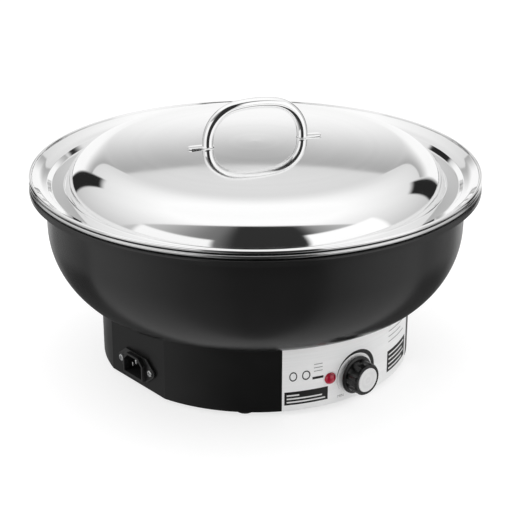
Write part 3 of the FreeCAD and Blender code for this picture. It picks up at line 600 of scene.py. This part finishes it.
bpy.ops.object.select_all(action="DESELECT")
bpy.ops.mesh.primitive_circle_add(vertices=40, radius=(BAR_R + 0.7) * MM, fill_type="NGON",
                                  location=(-HALF_SPAN * MM, 0, FOOT_Z * MM))
handle = bpy.context.object
apply_place(handle)
edit(handle)
bpy.ops.mesh.select_all(action="SELECT")
foot_centre = (-HALF_SPAN * MM, 0, FOOT_Z * MM)
for rise, shrink in ((0.35, 0.945), (0.45, 0.925)):
    bpy.ops.mesh.extrude_region_move(TRANSFORM_OT_translate={"value": (0, 0, rise * MM)})
    bpy.ops.transform.resize(value=(shrink, shrink, 1), center_override=foot_centre)
bpy.ops.mesh.extrude_region_move(TRANSFORM_OT_translate={"value": (0, 0, (bend_z - FOOT_Z - 0.8) * MM)})
for centre_x, centre_z, angle, steps in ((-bend_x, bend_z, math.pi / 2 - LEAN, 20),
                                         (0, bar_top - arch_r, 2 * LEAN, 12),
                                         (bend_x, bend_z, math.pi / 2 - LEAN, 20)):
    bpy.ops.mesh.spin(steps=steps, angle=angle, center=(centre_x * MM, 0, centre_z * MM), axis=(0, -1, 0))
bpy.ops.mesh.extrude_region_move(TRANSFORM_OT_translate={"value": (0, 0, -(bend_z - FOOT_Z - 0.8) * MM)})
foot_centre = (HALF_SPAN * MM, 0, FOOT_Z * MM)
for drop, grow in ((0.45, 1 / 0.925), (0.35, 1 / 0.945)):
    bpy.ops.mesh.extrude_region_move(TRANSFORM_OT_translate={"value": (0, 0, -drop * MM)})
    bpy.ops.transform.resize(value=(grow, grow, 1), center_override=foot_centre)
bpy.ops.mesh.select_all(action="SELECT")
bpy.ops.mesh.remove_doubles(threshold=0.01 * MM)
bpy.ops.mesh.normals_make_consistent(inside=False)
leave_edit()
handle.rotation_euler.z = HANDLE_TURN
hand_over(handle, "handle_bar", "lid", "mirror_steel", "lid_handle", sharp=50)

# %% [markdown]
# ### Handle tabs
# Under each foot lies a small half-round ear of sheet, which spreads the weld. It starts as a disc, one
# half of which is slid back under the foot, and its upper edge is softened so that it catches a line of
# light.

# %% Tabs under the handle's feet
TAB_R = 4.6
TAB_REACH = 13.0
tabs = []
for side in (1, -1):
    bpy.ops.object.select_all(action="DESELECT")
    bpy.ops.mesh.primitive_circle_add(vertices=48, radius=TAB_R * MM, fill_type="NGON",
                                      location=((HALF_SPAN + TAB_REACH) * MM, 0, (CROWN_TOP - 0.6) * MM))
    tab = bpy.context.object
    apply_place(tab)
    for vertex in tab.data.vertices:
        vertex.select = vertex.co.x < (HALF_SPAN + TAB_REACH + 0.01) * MM
    for face in tab.data.polygons:
        face.select = False
    for line in tab.data.edges:
        line.select = False
    edit(tab)
    bpy.ops.transform.translate(value=(-TAB_REACH * MM, 0, 0))
    bpy.ops.mesh.select_all(action="SELECT")
    bpy.ops.mesh.extrude_region_move(TRANSFORM_OT_translate={"value": (0, 0, 1.2 * MM)})
    bpy.ops.mesh.select_all(action="SELECT")
    bpy.ops.mesh.normals_make_consistent(inside=False)
    leave_edit()
    with_modifier(tab, "BEVEL", width=0.4 * MM, segments=3, limit_method="ANGLE")
    tab.rotation_euler.z = HANDLE_TURN + (0 if side > 0 else math.pi)
    apply_place(tab)
    tabs.append(tab)
hand_over(join(tabs, tabs[0]), "handle_ears", "lid", "mirror_steel", "handle_tabs")

# %% [markdown]
# ## Pans
# The food pan lifts out; the water pan under it is fixed. Both are deep-drawn, so they take the same
# treatment as the lid: an outline, a spin and a thickness. The food pan's edge is curled like the lid's.

# %% Food pan
PAN_CURL = 1.6
PAN_FLOOR = 100.8
pan_curl = Vector((RIM_R - PAN_CURL, RIM_TOP - 5.6))
pan_line = [pan_curl + Vector((math.cos(angle), math.sin(angle))) * PAN_CURL
            for angle in (math.radians(-150 + 15 * i) for i in range(22))]
pan_flange = RIM_TOP - 7.15
pan_corners = [tuple(pan_line[-1]), (RIM_R - 4.0, pan_flange), (RIM_R - 9.0, pan_flange),
               (RIM_R - 14.67, pan_flange - 1.65), (RIM_R - 19.1, pan_flange - 6.15), (171.5, PAN_FLOOR),
               (0, PAN_FLOOR)]
pan_line += rounded(pan_corners, (0.6, 2.0, 1.5, 2.0, 26.0))
pan = spin_outline(pan_line)
face_up(pan)
with_modifier(pan, "SOLIDIFY", thickness=SHEET * MM, offset=-1)
hand_over(pan, "food_tray", "food_pan", "pan_steel", "food_pan", sharp=40)

# %% Water pan
WELL_TOP = 161.9
WELL_FLOOR = 78.0
well_line = rounded([(187.8, WELL_TOP), (178.8, WELL_TOP), (177.0, WELL_FLOOR), (0, WELL_FLOOR)], (3.0, 50.0))
well = spin_outline(well_line, 128)
face_up(well)
with_modifier(well, "SOLIDIFY", thickness=SHEET * MM, offset=-1)
hand_over(well, "water_well", "base_unit", "pan_steel", "water_pan", sharp=40)

# %% [markdown]
# ## Bowl
# The black bowl hides the water pan. Its flange turns down in a short skirt, a ledge inside carries the
# pan, and the wall runs nearly straight before it rolls under in one large curve to the base. Black paint
# shows shape only by its reflections, so the outline is drawn finely where it turns.

# %% Spin the bowl
BASE_TOP = 63.5
BOWL_SHEET = 1.0
BOWL_LEDGE = 160.5
BOWL_RIM = RIM_TOP - 8.25
bowl_floor = BASE_TOP + 0.35 + BOWL_SHEET
wall_end = (180.1, 96.1)
floor_start = wall_end[0] - (wall_end[1] - bowl_floor) * math.tan(math.radians(43.4))
bowl_corners = [(RIM_R, RIM_TOP - 13.4), (RIM_R, BOWL_RIM), (188.5, BOWL_RIM), (188.5, BOWL_LEDGE),
                (180.9, BOWL_LEDGE), wall_end, (floor_start, bowl_floor), (118.0, bowl_floor)]
bowl = spin_outline(rounded(bowl_corners, (1.9, 1.6, 1.0, 2.2, 74.0, 31.0), math.radians(3)), 224)
face_up(bowl)
with_modifier(bowl, "SOLIDIFY", thickness=BOWL_SHEET * MM, offset=-1)
hand_over(bowl, "bowl_sheet", "base_unit", "black_paint", "outer_bowl", sharp=40)

# %% [markdown]
# ## Moulded parts
# A CAD edge is perfectly sharp, and a moulded one never is. The finest way to keep the exact shape is to
# copy the node, merge its loose triangles, dissolve the flat ones and bevel what is left.

# %% Copy a node and soften its edges
def softened(node_name, name, body, width, segments=2):
    """Hands over a copy of a CAD node whose edges have a small radius, width in mm."""
    only(nodes[node_name])
    bpy.ops.object.duplicate()
    copy = bpy.context.object
    copy.parent = None
    copy.hide_render = False
    edit(copy)
    bpy.ops.mesh.select_all(action="SELECT")
    bpy.ops.mesh.remove_doubles(threshold=0.002 * MM)
    bpy.ops.mesh.dissolve_limited(angle_limit=math.radians(0.6))
    leave_edit()
    with_modifier(copy, "BEVEL", width=width * MM, segments=segments, limit_method="ANGLE",
                  angle_limit=math.radians(32), use_clamp_overlap=True)
    hand_over(copy, name, body, slot_of[node_name], node_name)


softened("inlet_housing", "inlet_moulding", "base_unit", 0.45, 3)
softened("inlet_pins", "inlet_blades", "base_unit", 0.35)
softened("rubber_feet", "soft_feet", "base_unit", 0.5)

# %% [markdown]
# ## Knob
# The knob is a thin skirt with a fluted grip and a bright disc let into its end. It is built lying on the
# table, as a stack of extrusions, and the flutes are cut by ten round bars in one Boolean. Then every edge
# gets the small radius of a moulding, and the whole knob is turned to face the front. A real knob is hollow
# behind, to clear the nut and the spindle. This one is closed there, so those parts run into it, unseen.

# %% Stack the knob from its skirt to its end
KNOB_FACE_Y = -137.8
POINTER = math.radians(12)
bpy.ops.object.select_all(action="DESELECT")
bpy.ops.mesh.primitive_circle_add(vertices=120, radius=16.5 * MM, fill_type="NGON", location=(0, 0, 1.6 * MM))
knob = bpy.context.object
apply_place(knob)
edit(knob)
bpy.ops.mesh.select_all(action="SELECT")
levels = [(16.5, 1.6), (16.5, 2.6), (15.9, 3.2), (14.3, 3.6), (13.9, 13.4), (12.9, 14.8), (10.6, 14.8),
          (10.6, 13.8)]
for (radius, low), (next_radius, high) in zip(levels, levels[1:]):
    bpy.ops.mesh.extrude_region_move(TRANSFORM_OT_translate={"value": (0, 0, (high - low) * MM)})
    factor = next_radius / radius
    bpy.ops.transform.resize(value=(factor, factor, 1), center_override=(0, 0, high * MM))
bpy.ops.mesh.select_all(action="SELECT")
bpy.ops.mesh.normals_make_consistent(inside=False)
leave_edit()
print("knob blank:", len(knob.data.polygons), "faces")

# %% Cut the flutes
FLUTES = 10
FLUTE_R = 3.6
FLUTE_RING = 16.6
FLUTE_LENGTH = 9.8
SKIRT_TOP = 3.6
cutters = []
for i in range(FLUTES):
    angle = math.tau * (i + 0.5) / FLUTES
    bpy.ops.object.select_all(action="DESELECT")
    flute_middle = (FLUTE_RING * math.cos(angle) * MM, FLUTE_RING * math.sin(angle) * MM,
                    (SKIRT_TOP + FLUTE_LENGTH / 2) * MM)
    bpy.ops.mesh.primitive_cylinder_add(vertices=32, radius=FLUTE_R * MM, depth=FLUTE_LENGTH * MM,
                                        location=flute_middle)
    cutters.append(bpy.context.object)
flute_bars = join(cutters, cutters[-1])
with_modifier(knob, "BOOLEAN", object=flute_bars, operation="DIFFERENCE", solver="EXACT")
bpy.data.objects.remove(flute_bars)
with_modifier(knob, "BEVEL", width=0.35 * MM, segments=3, limit_method="ANGLE",
              angle_limit=math.radians(35))
print("knob fluted:", len(knob.data.polygons), "faces")

# %% Add the pointer and turn the knob to the front
bpy.ops.object.select_all(action="DESELECT")
bpy.ops.mesh.primitive_cube_add(size=1, location=(16.6 * MM, 0, 2.4 * MM),
                                scale=(2.4 * MM, 2.2 * MM, 2.0 * MM))
nub = bpy.context.object
apply_place(nub)
with_modifier(nub, "BEVEL", width=0.45 * MM, segments=3)
nub.rotation_euler.z = POINTER
apply_place(nub)
join((nub, knob), knob)
knob.rotation_euler.x = math.pi / 2
knob.location = (KNOB_X * MM, KNOB_FACE_Y * MM, KNOB_Z * MM)
hand_over(knob, "fluted_knob", "knob", "knob_plastic", "knob", sharp=35)

# %% [markdown]
# ## Pilot lamp
# The lamp's lens is a small red dome with a flat collar and a hollow neck behind it. A real one has moulded
# prisms under its smooth skin, which break its light into a grid. They are left out: only the skin is made.

# %% Turn the lens
LAMP_TURN = math.radians(-14.6)
LAMP_Z = 28.5
PLATE_R = 138.2
LENS_R = 4.6
LENS_RISE = 2.2
COLLAR_TOP = 1.1
lens_line = [Vector(point) for point in ((3.5, -6.5), (3.5, 0.15), (5.2, 0.15), (5.2, 0.7), (LENS_R, COLLAR_TOP))]
lens_line += [Vector((LENS_R * math.cos(math.radians(9 * i)),
                      COLLAR_TOP + LENS_RISE * math.sin(math.radians(9 * i))))
              for i in range(1, 11)]
lens = spin_outline(lens_line, 64)
with_modifier(lens, "BEVEL", width=0.15 * MM, segments=2, limit_method="ANGLE", angle_limit=math.radians(40))
lens.rotation_euler = (math.pi / 2, 0, LAMP_TURN)
lens.location = (math.sin(LAMP_TURN) * PLATE_R * MM, -math.cos(LAMP_TURN) * PLATE_R * MM, LAMP_Z * MM)
hand_over(lens, "lamp_dome", "base_unit", "lens_red", "lamp_lens", sharp=30)

# %% [markdown]
# ## Printing on the control plate
# The plate is printed with black marks: a dial that thickens towards the hot end, the words at its two
# ends, and plain blocks and bars. Ink has no thickness to speak of, but a mesh of its own keeps the edges
# crisp where a painted mask would blur. Each mark is cut out flat in front of the plate, and the Cast
# modifier then rolls it on to the cylinder.

# %% Ink and paper-white inks
make_finish("ink", grain, grey(0.006, 0.010), (0.40, 0.50), 0.001, sizes={"Cloudiness": 80.0})
make_finish("ink_grey", grain, grey(0.30, 0.36), (0.45, 0.55), 0.001, sizes={"Cloudiness": 80.0})
make_finish("ink_white", grain, grey(0.74, 0.80), (0.45, 0.55), 0.001, sizes={"Cloudiness": 80.0})
marks_by_ink = {"ink": [], "ink_grey": [], "ink_white": []}
BAR_STEP = 1.5           # mm between the cuts that let a bar bend round the plate


def plate_x(turn):
    """Sideways place on the flat, before rolling, of a bearing in degrees on the plate."""
    return PLATE_R * math.tan(math.radians(turn))


def keep_mark(ink):
    mark = bpy.context.object
    marks_by_ink[ink].append(mark)
    return mark


def print_bar(ink, turn_from, turn_to, low, high):
    """A rectangle between two bearings in degrees and two heights in mm."""
    bpy.ops.object.select_all(action="DESELECT")
    left, right = plate_x(turn_from), plate_x(turn_to)
    bpy.ops.mesh.primitive_plane_add(size=1, rotation=(math.pi / 2, 0, 0), location=(
        (left + right) / 2 * MM, -PLATE_R * MM, (low + high) / 2 * MM))
    bar = keep_mark(ink)
    bar.scale = ((right - left) * MM, (high - low) * MM, 1)
    apply_place(bar)
    edit(bar)
    bpy.ops.mesh.select_all(action="SELECT")
    bpy.ops.mesh.subdivide(number_cuts=max(1, round((right - left) / BAR_STEP)))
    leave_edit()


def print_ring(ink, turn, height_mm, outer, inner, vertices=72):
    """A flat ring round a bearing in degrees and a height in mm."""
    bpy.ops.object.select_all(action="DESELECT")
    bpy.ops.mesh.primitive_circle_add(vertices=vertices, radius=inner * MM, fill_type="NOTHING",
                                      rotation=(math.pi / 2, 0, 0),
                                      location=(plate_x(turn) * MM, -PLATE_R * MM, height_mm * MM))
    ring = keep_mark(ink)
    centre = tuple(ring.location)
    apply_place(ring)
    edit(ring)
    bpy.ops.mesh.select_all(action="SELECT")
    bpy.ops.mesh.extrude_region_move(TRANSFORM_OT_translate={"value": (0, 0, 0)})
    factor = outer / inner
    bpy.ops.transform.resize(value=(factor, factor, factor), center_override=centre)
    leave_edit()
    return ring


def print_word(ink, word, turn, height_mm, size):
    """A word whose middle stands at a bearing in degrees, with its foot at a height in mm."""
    bpy.ops.object.select_all(action="DESELECT")
    bpy.ops.object.text_add(rotation=(math.pi / 2, 0, 0),
                            location=(plate_x(turn) * MM, -PLATE_R * MM, height_mm * MM))
    text = bpy.context.object
    text.data.body = word
    text.data.size = size * MM
    text.data.align_x = "CENTER"
    bpy.ops.object.convert(target="MESH")
    apply_place(bpy.context.object)
    keep_mark(ink)


print("printing tools ready")


# %% The dial's scale: a ring whose outer edge is slid towards the hot side
DIAL_INNER, DIAL_OUTER = 18.9, 20.9
DIAL_SLIDE = (1.7, 0.7)         # how far the outer edge moves sideways and up
DIAL_GAP = (212, 322)           # the stretch with no scale, in degrees from the right
dial_turn = math.degrees(math.asin(KNOB_X / PLATE_R))
dial_x = plate_x(dial_turn)
scale_ring = print_ring("ink", dial_turn, KNOB_Z, DIAL_OUTER, DIAL_INNER, 144)


def on_outer_edge(point):
    reach = math.hypot(point.x / MM - dial_x, point.z / MM - KNOB_Z)
    return reach > (DIAL_INNER + DIAL_OUTER) / 2


def in_gap(point):
    way = math.degrees(math.atan2(point.z / MM - KNOB_Z, point.x / MM - dial_x)) % 360
    return DIAL_GAP[0] < way < DIAL_GAP[1]


pick(scale_ring, on_outer_edge)
bpy.ops.transform.translate(value=(DIAL_SLIDE[0] * MM, 0, DIAL_SLIDE[1] * MM))
leave_edit()
pick(scale_ring, in_gap)
bpy.ops.mesh.delete(type="VERT")
leave_edit()
print_word("ink_grey", "MIN", -10.2, 8.2, 3.6)
print_word("ink_grey", "MAX", 3.4, 8.2, 3.6)
print("dial printed")

# %% Plain blocks and bars
print_ring("ink", -28.2, 35.5, 4.3, 3.2)
print_ring("ink", -23.6, 35.5, 4.3, 3.2)
for i in range(3):
    print_bar("ink_grey", -20.8, -17.6, 37.6 + 3.1 * i, 38.3 + 3.1 * i)
print_bar("ink", -21.3, -17.2, 30.6, 32.8)
print_bar("ink", -31.2, -15.4, 9.6, 21.6)
for i, end in enumerate((-26.0, -17.6, -16.4)):
    print_bar("ink_white", -30.4, end, 17.6 - 3.1 * i, 18.9 - 3.1 * i)
for i, (start, end) in enumerate(((14.0, 25.5), (14.0, 27.5), (14.0, 24.0), (14.0, 27.0))):
    print_bar("ink_grey", start, end, 54.0 - 5.0 * i, 54.8 - 5.0 * i)
print_bar("ink", 13.6, 30.0, 10.5, 30.5)
for i in range(4):
    print_bar("ink_white", 14.6, 28.6 - 2.0 * (i % 2), 25.8 - 4.4 * i, 27.3 - 4.4 * i)
print({ink: len(marks) for ink, marks in marks_by_ink.items()})

# %% Roll the marks on to the plate
for lift, (ink, marks) in zip((0.06, 0.07, 0.10), marks_by_ink.items()):
    sheet = join(marks, marks[0])
    with_modifier(sheet, "CAST", cast_type="CYLINDER", factor=1.0, radius=0.0, size=(PLATE_R + lift) * MM,
                  use_radius_as_size=False, use_x=True, use_y=True, use_z=False)
    edit(sheet)
    bpy.ops.mesh.select_all(action="SELECT")
    bpy.ops.mesh.normals_make_consistent(inside=False)
    leave_edit()
    front = max(sheet.data.polygons, key=lambda face: face.area)
    if front.normal.y > 0:
        turn_over(sheet)
    hand_over(sheet, "plate_" + ink, "base_unit", ink)
